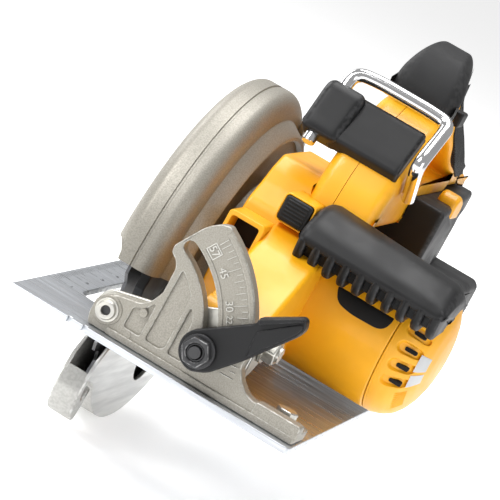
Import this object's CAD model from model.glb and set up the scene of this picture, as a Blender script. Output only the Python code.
"""Cordless circular saw: fine surfaces and finishes around its packed frame, laid out as an add-on."""
import math

import bmesh
import bpy
import numpy as np
from mathutils import Matrix, Vector
from mathutils.geometry import tessellate_polygon


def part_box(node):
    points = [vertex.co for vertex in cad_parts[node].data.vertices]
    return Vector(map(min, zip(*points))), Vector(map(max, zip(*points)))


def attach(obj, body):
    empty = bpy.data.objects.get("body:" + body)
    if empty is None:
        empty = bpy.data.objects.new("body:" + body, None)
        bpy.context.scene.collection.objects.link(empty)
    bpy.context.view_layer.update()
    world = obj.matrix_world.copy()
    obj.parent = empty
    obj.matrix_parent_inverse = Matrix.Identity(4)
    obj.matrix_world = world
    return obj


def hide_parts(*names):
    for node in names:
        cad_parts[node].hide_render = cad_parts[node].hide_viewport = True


bl_info = {
    "name": "Circular saw finisher",
    "version": (1, 0, 0),
    "blender": (4, 5, 0),
    "location": "3D View > Sidebar > Saw",
    "description": "Builds the visible surfaces, finishes and stage of a cordless circular saw",
    "category": "Object",
}

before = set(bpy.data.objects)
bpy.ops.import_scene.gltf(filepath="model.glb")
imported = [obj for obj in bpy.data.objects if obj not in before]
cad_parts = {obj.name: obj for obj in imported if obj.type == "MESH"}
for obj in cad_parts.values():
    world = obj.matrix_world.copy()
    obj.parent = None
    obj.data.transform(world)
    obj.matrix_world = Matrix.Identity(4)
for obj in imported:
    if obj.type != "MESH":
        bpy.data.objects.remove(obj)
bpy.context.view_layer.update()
MM = 0.001
GAP = 0.3


def span(node):
    """Lowest and highest corner of a CAD node in millimetres, as two arrays."""
    low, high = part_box(node)
    return np.array(low) / MM, np.array(high) / MM


# Places read from the frame, in millimetres.
BLADE_LOW, BLADE_HIGH = span("blade")
BLADE_X = (BLADE_LOW[0] + BLADE_HIGH[0]) / 2
ARBOR = np.array([(BLADE_LOW[1] + BLADE_HIGH[1]) / 2, (BLADE_LOW[2] + BLADE_HIGH[2]) / 2])
DRUM_LOW, DRUM_HIGH = span("motor_housing")
DRUM_R = (DRUM_HIGH[1] - DRUM_LOW[1]) / 2
MOTOR = np.array([(DRUM_LOW[1] + DRUM_HIGH[1]) / 2, (DRUM_LOW[2] + DRUM_HIGH[2]) / 2])
SHOE_LOW, SHOE_HIGH = span("shoe_plate")
QUAD_LOW, QUAD_HIGH = span("bevel_quadrant")
PIN_LOW, PIN_HIGH = span("bevel_front_pin")
BEVEL = (PIN_LOW[[0, 2]] + PIN_HIGH[[0, 2]]) / 2
NUT_LOW, NUT_HIGH = span("bevel_lock_bolt")
BOLT = (NUT_LOW[[0, 2]] + NUT_HIGH[[0, 2]]) / 2
PIVOT_LOW, PIVOT_HIGH = span("depth_pivot_bolt")
PIVOT = (PIVOT_LOW[[1, 2]] + PIVOT_HIGH[[1, 2]]) / 2
HANDLE_LOW, HANDLE_HIGH = span("handle_right_half")
HANDLE_X0 = span("handle_left_half")[0][0]
HANDLE_X1 = HANDLE_HIGH[0]
SEAM_X = HANDLE_LOW[0] - GAP / 2


# ---- shells: a shell is (vertices, faces of four, faces of three, edge share of each vertex) --------
def shell(points, quads=(), tris=(), edge=None):
    v = np.asarray(points, float).reshape(-1, 3)
    e = np.zeros(len(v)) if edge is None else np.asarray(edge, float).ravel()
    return v, np.asarray(quads, int).reshape(-1, 4), np.asarray(tris, int).reshape(-1, 3), e


def merged(*shells):
    """Several shells as one: the vertex lists follow each other and each face list is moved along by them."""
    start = np.cumsum([0] + [len(s[0]) for s in shells[:-1]])
    return (np.concatenate([s[0] for s in shells]),
            np.concatenate([s[1] + k for s, k in zip(shells, start)]),
            np.concatenate([s[2] + k for s, k in zip(shells, start)]),
            np.concatenate([s[3] for s in shells]))


def grid(points, closed_u=False, closed_v=False, flip=False, edge=None):
    """Surface over a (u, v) array of points: each quad joins a point to its next neighbours in u and in v."""
    nu, nv = points.shape[:2]
    iu = np.arange(nu if closed_u else nu - 1)[:, None]
    iv = np.arange(nv if closed_v else nv - 1)[None, :]
    a, b = iu * nv + iv, ((iu + 1) % nu) * nv + iv
    c, d = ((iu + 1) % nu) * nv + (iv + 1) % nv, iu * nv + (iv + 1) % nv
    quads = np.stack([a, d, c, b] if flip else [a, b, c, d], -1).reshape(-1, 4)
    return shell(points, quads, edge=edge)


def turned_about(s, axis, degrees, centre):
    """The shell turned by an angle about an axis (0, 1 or 2) through a point, by the rotation matrix."""
    t = math.radians(degrees)
    i, j = [(1, 2), (2, 0), (0, 1)][axis]
    v = s[0] - np.asarray(centre, float)
    out = v.copy()
    out[:, i] = v[:, i] * math.cos(t) - v[:, j] * math.sin(t)
    out[:, j] = v[:, i] * math.sin(t) + v[:, j] * math.cos(t)
    return out + np.asarray(centre, float), s[1], s[2], s[3]


# ---- outlines ---------------------------------------------------------------------------------------
def arc(centre, r, start, end, steps):
    """Points at radius r about a centre, at equal steps of angle from start to end degrees."""
    t = np.radians(np.linspace(start, end, steps + 1))
    return np.stack([centre[0] + r * np.cos(t), centre[1] + r * np.sin(t)], -1)


def path(*parts):
    return np.concatenate([np.asarray(p, float).reshape(-1, 2) for p in parts])


def soften(points, setback, steps=5):
    """Each corner P of a closed outline becomes the Bezier curve whose ends lie a setback before and after
    P and whose middle handle is P; a setback is never over 48% of its edge."""
    p = np.asarray(points, float)
    keep = np.linalg.norm(np.roll(p, -1, 0) - p, axis=1) > 1e-6
    p = p[keep]
    back, ahead = np.roll(p, 1, 0) - p, np.roll(p, -1, 0) - p
    lb, la = np.linalg.norm(back, axis=1)[:, None], np.linalg.norm(ahead, axis=1)[:, None]
    r = np.broadcast_to(np.asarray(setback, float), (len(keep),))[keep][:, None]
    a, c = p + back / lb * np.minimum(r, 0.48 * lb), p + ahead / la * np.minimum(r, 0.48 * la)
    s = np.linspace(0, 1, steps + 1)[None, :, None]
    out = (1 - s) ** 2 * a[:, None] + 2 * s * (1 - s) * p[:, None] + s ** 2 * c[:, None]
    return out.reshape(-1, 2)


def box_outline(a0, a1, b0, b1, setback=0.0, steps=5):
    corners = [[a0, b0], [a1, b0], [a1, b1], [a0, b1]]
    return soften(corners, setback, steps) if setback else np.array(corners, float)


def hexagon(centre, r, setback=0.6):
    return soften(arc(centre, r, 0, 300, 5), setback, 3)


def wound(points, sense):
    """The outline run anticlockwise for sense 1 or clockwise for -1, by the sign of its enclosed area."""
    p = np.asarray(points, float)
    q = np.roll(p, -1, 0)
    area = np.sum(p[:, 0] * q[:, 1] - q[:, 0] * p[:, 1])
    return p if area * sense > 0 else p[::-1]


def inset(points, distance):
    """Each point moved into the material by a distance along the mitre of its two edge normals."""
    p = np.asarray(points, float)
    e = np.roll(p, -1, 0) - p
    e /= np.maximum(np.linalg.norm(e, axis=1), 1e-9)[:, None]
    n = np.stack([-e[:, 1], e[:, 0]], -1)
    before = np.roll(n, 1, 0)
    m = (n + before) / np.maximum(1 + np.sum(n * before, 1), 0.45)[:, None]
    return p + m * distance


def place(ab, h, axis):
    """Outline points and a height as points in space: X takes (y, z), Y takes (x, z), Z takes (x, y)."""
    h = np.broadcast_to(h, ab.shape[:-1])
    order = {"X": (h, ab[..., 0], ab[..., 1]), "Y": (ab[..., 0], h, ab[..., 1]),
        "Z": (ab[..., 0], ab[..., 1], h)}
    return np.stack(order[axis], -1)


def plate(axis, low, high, outline, holes=(), edge=0.6, rings=4, both=True, hole_edge=None):
    """A flat piece with rounded edges. Each loop is carried through heights low to high while it is inset by
    edge * (1 - sin t) as the height runs edge * (1 - cos t) in from each face; the faces are triangulated."""
    loops = [wound(outline, 1)] + [wound(h, -1) for h in holes]
    mirror = axis == "Y"
    t = np.linspace(0, math.pi / 2, rings)
    shells, caps_low, caps_high = [], [], []
    for k, loop in enumerate(loops):
        e = edge if k == 0 or hole_edge is None else hole_edge
        e = min(e, 0.49 * (high - low))
        up = e * (1 - np.cos(t))
        ins = e * (1 - np.sin(t))
        start_in, start_up, start_edge = [e * 1.15], [0.0], [0.0]
        if both:
            ins_all = np.concatenate([start_in, ins, [0], [0], ins[::-1], start_in])
            up_all = np.concatenate([low + np.array(start_up), low + up, [low + e * 1.5], [high - e * 1.5],
                                     high - up[::-1], [high]])
            mark = np.concatenate([start_edge, np.sin(2 * t) * 0.6 + 0.4, [0], [0],
                                   np.sin(2 * t) * 0.6 + 0.4, start_edge])
        else:
            ins_all = np.concatenate([[0], [0], ins[::-1], start_in])
            up_all = np.concatenate([[low], [high - e * 1.5], high - up[::-1], [high]])
            mark = np.concatenate([[0], [0], np.sin(2 * t) * 0.6 + 0.4, start_edge])
        ring = np.stack([place(inset(loop, d), h, axis) for d, h in zip(ins_all, up_all)])
        marks = np.broadcast_to(mark[:, None], ring.shape[:2])
        shells.append(grid(ring, closed_v=True, flip=not mirror, edge=marks))
        caps_low.append(ring[0])
        caps_high.append(ring[-1])
    for caps, top in ((caps_low, False), (caps_high, True)):
        pts = np.concatenate(caps)
        flat = [[Vector(p) for p in c] for c in caps]
        tris = np.array(tessellate_polygon(flat), int)
        a, b, c = pts[tris[:, 0]], pts[tris[:, 1]], pts[tris[:, 2]]
        k = {"X": 0, "Y": 1, "Z": 2}[axis]
        sign = np.cross(b - a, c - a)[:, k]
        wrong = sign < 0 if top else sign > 0
        tris[wrong] = tris[wrong][:, ::-1]
        shells.append(shell(pts, tris=tris))
    return merged(*shells)


def lathe(axis, centre, profile, segments=72, edge=None, start=0.0, end=360.0):
    """A profile of (height, radius) points turned about an axis: angle runs round, the profile runs along."""
    prof = np.asarray(profile, float)
    full = end - start >= 360
    t = np.radians(np.linspace(start, end, segments + 1))
    t = t[:-1] if full else t
    r, h = prof[None, :, 1], prof[None, :, 0]
    a, b = centre[0] + r * np.cos(t)[:, None], centre[1] + r * np.sin(t)[:, None]
    pts = place(np.stack([a, b], -1), np.broadcast_to(h, a.shape), axis)
    marks = np.broadcast_to(np.zeros(len(prof)) if edge is None else edge, a.shape)
    return grid(pts, closed_u=full, flip=axis == "Y", edge=marks)


def rounded_profile(points, setback=0.5, steps=4):
    """An open (height, radius) profile whose inner corners are softened and whose ends stay on the axis."""
    p = np.asarray(points, float)
    back, ahead = p[:-2] - p[1:-1], p[2:] - p[1:-1]
    lb, la = np.linalg.norm(back, axis=1)[:, None], np.linalg.norm(ahead, axis=1)[:, None]
    a = p[1:-1] + back / lb * np.minimum(setback, 0.45 * lb)
    c = p[1:-1] + ahead / la * np.minimum(setback, 0.45 * la)
    s = np.linspace(0, 1, steps + 1)[None, :, None]
    mid = (1 - s) ** 2 * a[:, None] + 2 * s * (1 - s) * p[1:-1][:, None] + s ** 2 * c[:, None]
    return np.concatenate([p[:1], mid.reshape(-1, 2), p[-1:]])


def stud(axis, centre, low, high, r, setback=0.5, segments=40, bore=0.0):
    """A round disc, or a ring when it has a bore, with softened rims."""
    if bore:
        ring = soften([[low, bore], [low, r], [high, r], [high, bore]], setback, 4)
        return lathe(axis, centre, np.concatenate([ring, ring[:1]]), segments)
    return lathe(axis, centre, rounded_profile([[low, 0], [low, r], [high, r], [high, 0]], setback), segments)


def tube(points, r, sides=20, cap=0.6):
    """A round rod along a path: each station's circle lies square to the path, and the ends are chamfered."""
    p = np.asarray(points, float)
    tangent = np.gradient(p, axis=0)
    tangent /= np.linalg.norm(tangent, axis=1)[:, None]
    side = np.cross(tangent, [0.31, 0.87, -0.38])
    side /= np.linalg.norm(side, axis=1)[:, None]
    up = np.cross(tangent, side)
    a = np.linspace(0, 2 * math.pi, sides, endpoint=False)
    radii = np.concatenate([[0, r - cap], np.full(len(p), r), [r - cap, 0]])
    ends = np.array([0, 0, *range(len(p)), len(p) - 1, len(p) - 1])
    shift = np.zeros(len(ends))
    shift[:2], shift[-2:] = -cap, cap
    c, s, u = p[ends] + tangent[ends] * shift[:, None], side[ends], up[ends]
    ring = c[:, None] + radii[:, None, None] * (s[:, None] * np.cos(a)[None, :, None]
                                                + u[:, None] * np.sin(a)[None, :, None])
    return grid(ring, closed_v=True)


def bent_path(points, setback, steps=10):
    """An open path in space whose corners are softened, then walked at even steps of about a millimetre."""
    p = np.asarray(points, float)
    back, ahead = p[:-2] - p[1:-1], p[2:] - p[1:-1]
    lb, la = np.linalg.norm(back, axis=1)[:, None], np.linalg.norm(ahead, axis=1)[:, None]
    a = p[1:-1] + back / lb * np.minimum(setback, 0.48 * lb)
    c = p[1:-1] + ahead / la * np.minimum(setback, 0.48 * la)
    s = np.linspace(0, 1, steps + 1)[None, :, None]
    mid = (1 - s) ** 2 * a[:, None] + 2 * s * (1 - s) * p[1:-1][:, None] + s ** 2 * c[:, None]
    q = np.concatenate([p[:1], mid.reshape(-1, 3), p[-1:]])
    run = np.concatenate([[0], np.cumsum(np.linalg.norm(np.diff(q, axis=0), axis=1))])
    even = np.linspace(0, run[-1], max(8, int(run[-1] / 1.0)))
    return np.stack([np.interp(even, run, q[:, k]) for k in range(3)], -1)


def ease(x, low, high):
    """0 below low, 1 above high and 3t^2 - 2t^3 between."""
    t = np.clip((x - low) / (high - low), 0, 1)
    return t * t * (3 - 2 * t)


def pad_mask(a, b, a0, a1, b0, b1, radius, soft):
    """1 inside a rounded rectangle and 0 outside, easing over soft, from its signed distance."""
    qa = np.abs(a - (a0 + a1) / 2) - (a1 - a0) / 2 + radius
    qb = np.abs(b - (b0 + b1) / 2) - (b1 - b0) / 2 + radius
    d = np.hypot(np.maximum(qa, 0), np.maximum(qb, 0)) + np.minimum(np.maximum(qa, qb), 0) - radius
    return 1 - ease(d, -soft / 2, soft / 2)


# ---- objects ----------------------------------------------------------------------------------------
def make_piece(name, data, material, body, nodes=(), sharp=35.0):
    """Puts a shell into a mesh with its edge attribute, rides it on its body and hides what it stands for."""
    v, quads, tris, edge = data
    mesh = bpy.data.meshes.new(name)
    mesh.vertices.add(len(v))
    mesh.vertices.foreach_set("co", (v * MM).astype(np.float32).ravel())
    loops = np.concatenate([quads.ravel(), tris.ravel()]).astype(np.int32)
    starts = np.concatenate([np.arange(len(quads)) * 4, len(quads) * 4 + np.arange(len(tris)) * 3])
    mesh.loops.add(len(loops))
    mesh.loops.foreach_set("vertex_index", loops)
    mesh.polygons.add(len(starts))
    mesh.polygons.foreach_set("loop_start", starts.astype(np.int32))
    mesh.update(calc_edges=True)
    attribute = mesh.attributes.new("edge", "FLOAT", "POINT")
    attribute.data.foreach_set("value", edge.astype(np.float32))
    bm = bmesh.new()
    bm.from_mesh(mesh)
    bmesh.ops.remove_doubles(bm, verts=bm.verts, dist=2e-6)
    bmesh.ops.dissolve_degenerate(bm, edges=bm.edges, dist=1e-7)
    bmesh.ops.recalc_face_normals(bm, faces=bm.faces)
    bm.to_mesh(mesh)
    bm.free()
    mesh.polygons.foreach_set("use_smooth", np.ones(len(mesh.polygons), bool))
    mesh.set_sharp_from_angle(angle=math.radians(sharp))
    mesh.materials.append(material)
    mesh.validate()
    piece = bpy.data.objects.new(name, mesh)
    bpy.context.scene.collection.objects.link(piece)
    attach(piece, body)
    if nodes:
        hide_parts(*nodes)
    return piece


def bars(boxes):
    """Square bars from rows of (x0, x1, y0, y1, z0, z1): the eight corners of each row, joined by six faces."""
    b = np.asarray(boxes, float).reshape(-1, 6)
    pick = np.array([[i, j, k] for i in (0, 1) for j in (2, 3) for k in (4, 5)])
    pts = b[:, pick]
    faces = np.array([[0, 1, 3, 2], [4, 6, 7, 5], [0, 4, 5, 1], [2, 3, 7, 6], [0, 2, 6, 4], [1, 5, 7, 3]])
    quads = (np.arange(len(b))[:, None, None] * 8 + faces[None]).reshape(-1, 4)
    return shell(pts, quads)


def mirrored(s, x):
    """The shell reflected in the plane at x, with each face run backwards so that it still points out."""
    v = s[0].copy()
    v[:, 0] = 2 * x - v[:, 0]
    return v, s[1][:, ::-1], s[2][:, ::-1], s[3]


def wrapped(s, centre):
    """A shell drawn flat as (x, run, radius) is bent round a cylinder: the run over the radius 39 is the angle."""
    v = s[0]
    a = v[:, 1] / DRUM_R
    return (np.stack([v[:, 0], centre[0] + v[:, 2] * np.cos(a), centre[1] + v[:, 2] * np.sin(a)], -1),
        ) + s[1:]


def slimmed(s, start, end, share):
    """The shell drawn in towards the seam plane by a share that eases in from one y to another and with height."""
    v = s[0].copy()
    v[:, 0] = SEAM_X + (v[:, 0] - SEAM_X) * (1 - share * ease(v[:, 1], start, end) * ease(v[:, 2], 125, 168))
    return (v,) + s[1:]


def relief(axis, centre, angles, stations, radius, closed=True):
    """A turned skin whose radius is a function of angle (degrees) and station: a full array of both."""
    t, h = np.meshgrid(angles, stations, indexing="ij")
    r = radius(t, h)
    a, b = centre[0] + r * np.cos(np.radians(t)), centre[1] + r * np.sin(np.radians(t))
    return grid(place(np.stack([a, b], -1), h, axis), closed_u=closed)


def writing(text, size, origin, right, up, depth, thick=0.3):
    """A word as a mesh: its flat letters are set along two directions in space and given a thickness."""
    curve = bpy.data.curves.new("letters", "FONT")
    curve.body, curve.size, curve.extrude = text, size, thick / 2
    curve.align_x, curve.align_y, curve.resolution_u = "CENTER", "CENTER", 3
    holder = bpy.data.objects.new("letters", curve)
    bpy.context.scene.collection.objects.link(holder)
    bpy.context.view_layer.update()
    mesh = bpy.data.meshes.new_from_object(holder.evaluated_get(bpy.context.evaluated_depsgraph_get()))
    v = np.zeros(len(mesh.vertices) * 3)
    mesh.vertices.foreach_get("co", v)
    v = v.reshape(-1, 3)
    mesh.calc_loop_triangles()
    tris = np.zeros(len(mesh.loop_triangles) * 3, int)
    mesh.loop_triangles.foreach_get("vertices", tris)
    bpy.data.objects.remove(holder)
    bpy.data.curves.remove(curve)
    bpy.data.meshes.remove(mesh)
    right, up, depth = (np.asarray(d, float) for d in (right, up, depth))
    return shell(np.asarray(origin, float) + v[:, :1] * right + v[:, 1:2] * up + v[:, 2:] * depth,
        tris=tris.reshape(-1, 3))


# ---- finishes ---------------------------------------------------------------------------------------
def node_group(name, inputs, outputs):
    group = bpy.data.node_groups.new(name, "ShaderNodeTree")
    for label, kind, value in inputs:
        socket = group.interface.new_socket(label, in_out="INPUT", socket_type=kind)
        if value is not None:
            socket.default_value = value
    for label, kind in outputs:
        group.interface.new_socket(label, in_out="OUTPUT", socket_type=kind)
    return group, group.nodes.new("NodeGroupInput"), group.nodes.new("NodeGroupOutput")


def wired(tree, kind, links=(), **values):
    """A new node with its properties and socket values set, and its inputs linked."""
    node = tree.nodes.new(kind)
    for key, value in values.items():
        if key.startswith("in_"):
            node.inputs[int(key[3:])].default_value = value
        else:
            setattr(node, key, value)
    for socket, source in links:
        tree.links.new(source, node.inputs[socket])
    return node


def grain_group():
    """Fine grain for relief, and a slow mottle for colour: two noises of one vector at far apart scales."""
    g, gi, go = node_group("Saw grain", [("Vector", "NodeSocketVector", None),
        ("Scale", "NodeSocketFloat", 900.0),
                                         ("Spread", "NodeSocketFloat", 60.0)],
                           [("Height", "NodeSocketFloat"), ("Mottle", "NodeSocketFloat")])
    fine = wired(g, "ShaderNodeTexNoise", [("Vector", gi.outputs["Vector"]), ("Scale", gi.outputs["Scale"])])
    fine.inputs["Detail"].default_value, fine.inputs["Roughness"].default_value = 5.0, 0.62
    slow = wired(g, "ShaderNodeTexNoise", [("Vector", gi.outputs["Vector"]), ("Scale", gi.outputs["Spread"])])
    slow.inputs["Detail"].default_value = 3.0
    wide = wired(g, "ShaderNodeMapRange", [(0, slow.outputs[0])], in_1=0.32, in_2=0.68,
        interpolation_type="SMOOTHSTEP")
    g.links.new(fine.outputs[0], go.inputs["Height"])
    g.links.new(wide.outputs[0], go.inputs["Mottle"])
    return g


def wear_group():
    """Rubbed edges: the edge attribute plus a noise, cut off so that only the proud, noisy parts show."""
    g, gi, go = node_group("Saw edge wear", [("Vector", "NodeSocketVector", None),
        ("Amount", "NodeSocketFloat", 0.4),
                                             ("Scale", "NodeSocketFloat", 420.0)],
                                                 [("Mask", "NodeSocketFloat")])
    edge = wired(g, "ShaderNodeAttribute", attribute_name="edge")
    noise = wired(g, "ShaderNodeTexNoise", [("Vector", gi.outputs["Vector"]), ("Scale", gi.outputs["Scale"])])
    mixed = wired(g, "ShaderNodeMath", [(0, edge.outputs["Fac"]), (1, noise.outputs[0])],
        operation="MULTIPLY")
    cut = wired(g, "ShaderNodeMapRange", [(0, mixed.outputs[0])], in_1=0.36, in_2=0.56)
    out = wired(g, "ShaderNodeMath", [(0, cut.outputs[0]), (1, gi.outputs["Amount"])], operation="MULTIPLY")
    g.links.new(out.outputs[0], go.inputs["Mask"])
    return g


def knurl_group():
    """Diamond knurl: the lower of two triangle waves that run crosswise over width and length."""
    g, gi, go = node_group("Saw knurl", [("Vector", "NodeSocketVector", None),
        ("Pitch", "NodeSocketFloat", 0.0011),
                                         ("Lean", "NodeSocketVector", (0.0, 0.78, -0.63))],
                                             [("Height", "NodeSocketFloat")])
    split = wired(g, "ShaderNodeSeparateXYZ", [(0, gi.outputs["Vector"])])
    run = wired(g, "ShaderNodeVectorMath", [(0, gi.outputs["Vector"]), (1, gi.outputs["Lean"])],
        operation="DOT_PRODUCT")
    waves = []
    for sign in ("ADD", "SUBTRACT"):
        both = wired(g, "ShaderNodeMath", [(0, split.outputs[0]), (1, run.outputs["Value"])], operation=sign)
        wave = wired(g, "ShaderNodeMath", [(0, both.outputs[0]), (1, gi.outputs["Pitch"])],
            operation="PINGPONG")
        waves.append(wired(g, "ShaderNodeMath", [(0, wave.outputs[0]), (1, gi.outputs["Pitch"])],
            operation="DIVIDE"))
    low = wired(g, "ShaderNodeMath", [(0, waves[0].outputs[0]), (1, waves[1].outputs[0])],
        operation="MINIMUM")
    g.links.new(low.outputs[0], go.inputs["Height"])
    return g


GROUPS = {}
FINISH = {}


def group_node(tree, key, links=(), **values):
    node = tree.nodes.new("ShaderNodeGroup")
    node.node_tree = GROUPS[key]
    for name, value in values.items():
        node.inputs[name].default_value = value
    for socket, source in links:
        tree.links.new(source, node.inputs[socket])
    return node


def finish(key, colour, shade, rough, metal=0.0, scale=900.0, spread=60.0, stretch=(1, 1, 1), bump=0.04,
           rubbed=None, wear=0.0, coat=0.0, rough_spread=0.12, knurl=False, specular=0.5):
    """One finish: two tones mixed by a slow mottle, rubbed edges, uneven gloss and a fine relief."""
    mat = bpy.data.materials.new("saw_" + key)
    mat.use_nodes = True
    tree = mat.node_tree
    tree.nodes.clear()
    out = tree.nodes.new("ShaderNodeOutputMaterial")
    surface = tree.nodes.new("ShaderNodeBsdfPrincipled")
    tree.links.new(surface.outputs[0], out.inputs[0])
    coord = tree.nodes.new("ShaderNodeTexCoord")
    mapping = wired(tree, "ShaderNodeMapping", [("Vector", coord.outputs["Object"])])
    mapping.inputs["Scale"].default_value = stretch
    grain = group_node(tree, "grain", [("Vector", mapping.outputs[0])], Scale=scale, Spread=spread)
    tone = wired(tree, "ShaderNodeMix", [(0, grain.outputs["Mottle"])], data_type="RGBA")
    tone.inputs[6].default_value, tone.inputs[7].default_value = (*colour, 1), (*shade, 1)
    worn = group_node(tree, "wear", [("Vector", coord.outputs["Object"])], Amount=wear)
    rub = wired(tree, "ShaderNodeMix", [(0, worn.outputs["Mask"]), (6, tone.outputs[2])], data_type="RGBA")
    rub.inputs[7].default_value = (*(rubbed or colour), 1)
    tree.links.new(rub.outputs[2], surface.inputs["Base Color"])
    gloss = wired(tree, "ShaderNodeMath", [(0, grain.outputs["Mottle"])], operation="MULTIPLY_ADD",
                  in_1=rough_spread, in_2=rough)
    tree.links.new(gloss.outputs[0], surface.inputs["Roughness"])
    surface.inputs["Metallic"].default_value = metal
    surface.inputs["Coat Weight"].default_value = coat
    surface.inputs["Specular IOR Level"].default_value = specular
    height = grain.outputs["Height"]
    if knurl:
        cross = group_node(tree, "knurl", [("Vector", coord.outputs["Object"])])
        height = cross.outputs["Height"]
    relief_node = wired(tree, "ShaderNodeBump", [("Height", height)])
    relief_node.inputs["Strength"].default_value = 1.0
    relief_node.inputs["Distance"].default_value = bump * MM
    tree.links.new(relief_node.outputs[0], surface.inputs["Normal"])
    FINISH[key] = mat
    return mat


NODE_FINISH = {
    "cast": ["bevel_quadrant", "rear_bevel_ear", "upper_guard", "bearing_plate"],
    "guard": ["lower_guard"],
    "zinc": ["quadrant_bolt", "bevel_front_pin", "bevel_rear_pin", "bevel_bracket", "depth_bracket",
             "depth_pivot_bolt", "depth_pivot_nut", "depth_lock_bolt"],
    "sheet": ["shoe_plate"],
    "black": ["bevel_lock_lever", "depth_lock_lever", "chip_shield", "lower_guard_lever", "battery_foot",
              "motor_controller", "battery_case", "pommel_handle", "hook_clamp", "trigger", "lock_off_button",
              "spindle_lock_button", "cooling_fan", "handle_cap"],
    "dark_steel": ["bevel_lock_nut", "bevel_lock_bolt"],
    "yellow": ["gear_housing", "motor_housing", "motor_end_cap", "handle_left_half", "handle_right_half",
               "battery_release_button"],
    "knurl": ["grip_pad"],
    "chrome": ["rafter_hook"],
    "blade": ["blade"],
    "copper": ["motor_stator"],
}


def make_finishes(colours):
    GROUPS.update(grain=grain_group(), wear=wear_group(), knurl=knurl_group())
    y = tuple(colours.yellow)
    k = tuple(colours.black)
    c = tuple(colours.casting)
    finish("yellow", y, tuple(np.array(y) * 0.93), 0.36, bump=0.02, scale=1500,
        rubbed=tuple(np.array(y) * 1.06),
           wear=0.5, coat=0.12)
    finish("black", k, tuple(np.array(k) * 1.35), 0.40, bump=0.022, scale=1700,
        rubbed=(0.06, 0.06, 0.062), wear=0.4, specular=0.28)
    finish("rubber", tuple(np.array(k) * 1.25), tuple(np.array(k) * 1.7), 0.55, bump=0.03, scale=1300,
           rubbed=(0.05, 0.05, 0.05), wear=0.3, specular=0.3)
    finish("knurl", tuple(np.array(k) * 1.5), tuple(np.array(k) * 1.9), 0.58, bump=0.5, knurl=True,
        specular=0.3)
    finish("cast", c, tuple(np.array(c) * 0.8), 0.44, metal=0.55, bump=0.06, scale=1900, spread=1500,
           rubbed=(0.62, 0.61, 0.57), wear=0.7)
    finish("guard", (0.52, 0.515, 0.49), (0.44, 0.435, 0.41), 0.36, metal=0.7, bump=0.03, scale=1600,
        spread=700,
           rubbed=(0.75, 0.75, 0.73), wear=0.9)
    finish("scale", (0.62, 0.61, 0.57), (0.55, 0.54, 0.5), 0.4, metal=0.6)
    finish("cheek", (0.62, 0.62, 0.60), (0.5, 0.5, 0.49), 0.3, metal=0.95, bump=0.02,
        stretch=(1, 0.08, 1), scale=1400,
           spread=200)
    finish("zinc", (0.60, 0.585, 0.53), (0.48, 0.47, 0.44), 0.3, metal=0.9, bump=0.03, scale=1000, spread=120,
           rubbed=(0.8, 0.79, 0.76), wear=0.8)
    finish("sheet", (0.66, 0.68, 0.71), (0.52, 0.54, 0.57), 0.27, metal=0.9, bump=0.035, stretch=(0.05, 1, 1),
           scale=1900, spread=420, rubbed=(0.62, 0.64, 0.67), wear=0.6, rough_spread=0.2)
    finish("chrome", (0.80, 0.80, 0.80), (0.72, 0.72, 0.73), 0.09, metal=1.0, bump=0.0, rough_spread=0.05)
    finish("dark_steel", (0.035, 0.035, 0.037), (0.06, 0.06, 0.062), 0.36, metal=0.6, bump=0.03, scale=1200,
           rubbed=(0.3, 0.3, 0.3), wear=0.7)
    finish("steel", (0.5, 0.5, 0.5), (0.42, 0.42, 0.42), 0.28, metal=1.0, bump=0.02)
    finish("blade", (0.20, 0.20, 0.205), (0.15, 0.15, 0.155), 0.34, metal=0.9, bump=0.02,
        stretch=(1, 0.2, 0.2), scale=900)
    finish("copper", (0.55, 0.22, 0.08), (0.42, 0.16, 0.06), 0.35, metal=0.9, bump=0.2,
        stretch=(1, 6, 6), scale=300)
    finish("label", (0.55, 0.56, 0.57), (0.48, 0.49, 0.5), 0.3, metal=0.4)
    finish("mark", (0.012, 0.012, 0.013), (0.02, 0.02, 0.02), 0.55)
    finish("dark_hole", (0.004, 0.004, 0.004), (0.006, 0.006, 0.006), 0.8)
    by_node = {n: k for k, ns in NODE_FINISH.items() for n in ns}
    for name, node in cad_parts.items():
        node.data.materials.clear()
        node.data.materials.append(FINISH[by_node.get(name, "steel")])
    return by_node


# ---- shoe -------------------------------------------------------------------------------------------
def make_shoe(sizes):
    """The sheet is an outline with two saw-kerf notches at the front, a long opening, and ruler marks."""
    x0, x1, y0, y1 = SHOE_LOW[0], SHOE_HIGH[0], SHOE_LOW[1], SHOE_HIGH[1]
    notch = lambda x: [[x - 0.9, y0], [x - 0.9, y0 + 2.6], [x + 0.9, y0 + 2.6], [x + 0.9, y0]]
    ring = path(soften([[x0, y1], [x0, y0]], 0), notch(BLADE_X), notch(BLADE_X + 8.5), [[x1, y0], [x1, y1]])
    rounds = np.full(len(ring), 0.25)
    rounds[[0, 1, -1, -2]] = 4.0
    ring = soften(ring, rounds, 6)
    slot = box_outline(*SLOT, setback=9.0, steps=8)
    top = SHOE_HIGH[2]
    sheet = plate("Z", SHOE_LOW[2], top, ring, [slot], edge=sizes.sheet_edge)
    make_piece("shoe_sheet", sheet, FINISH["sheet"], "shoe", ["shoe_plate"])
    n = np.arange(int((y1 - 20 + 95) / sizes.tick_pitch))
    y = -95 + n * sizes.tick_pitch
    long = np.where(n % 8 == 0, 8.0, np.where(n % 4 == 0, 5.5, 3.2))
    rows = np.stack([np.full(len(n), x0 + 1.6), x0 + 1.6 + long, y - 0.16, y + 0.16,
                     np.full(len(n), top - 0.02), np.full(len(n), top + 0.05)], -1)
    digits = [writing(str(i + 1), 4.6, (x0 + 12.6, -95 + 8 * i * sizes.tick_pitch, top + 0.02),
        (1, 0, 0), (0, 1, 0),
                      (0, 0, 1), 0.08) for i in range(int(len(n) / 8) + 1)]
    make_piece("shoe_ruler_marks", merged(bars(rows), *digits), FINISH["mark"], "shoe")


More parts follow.
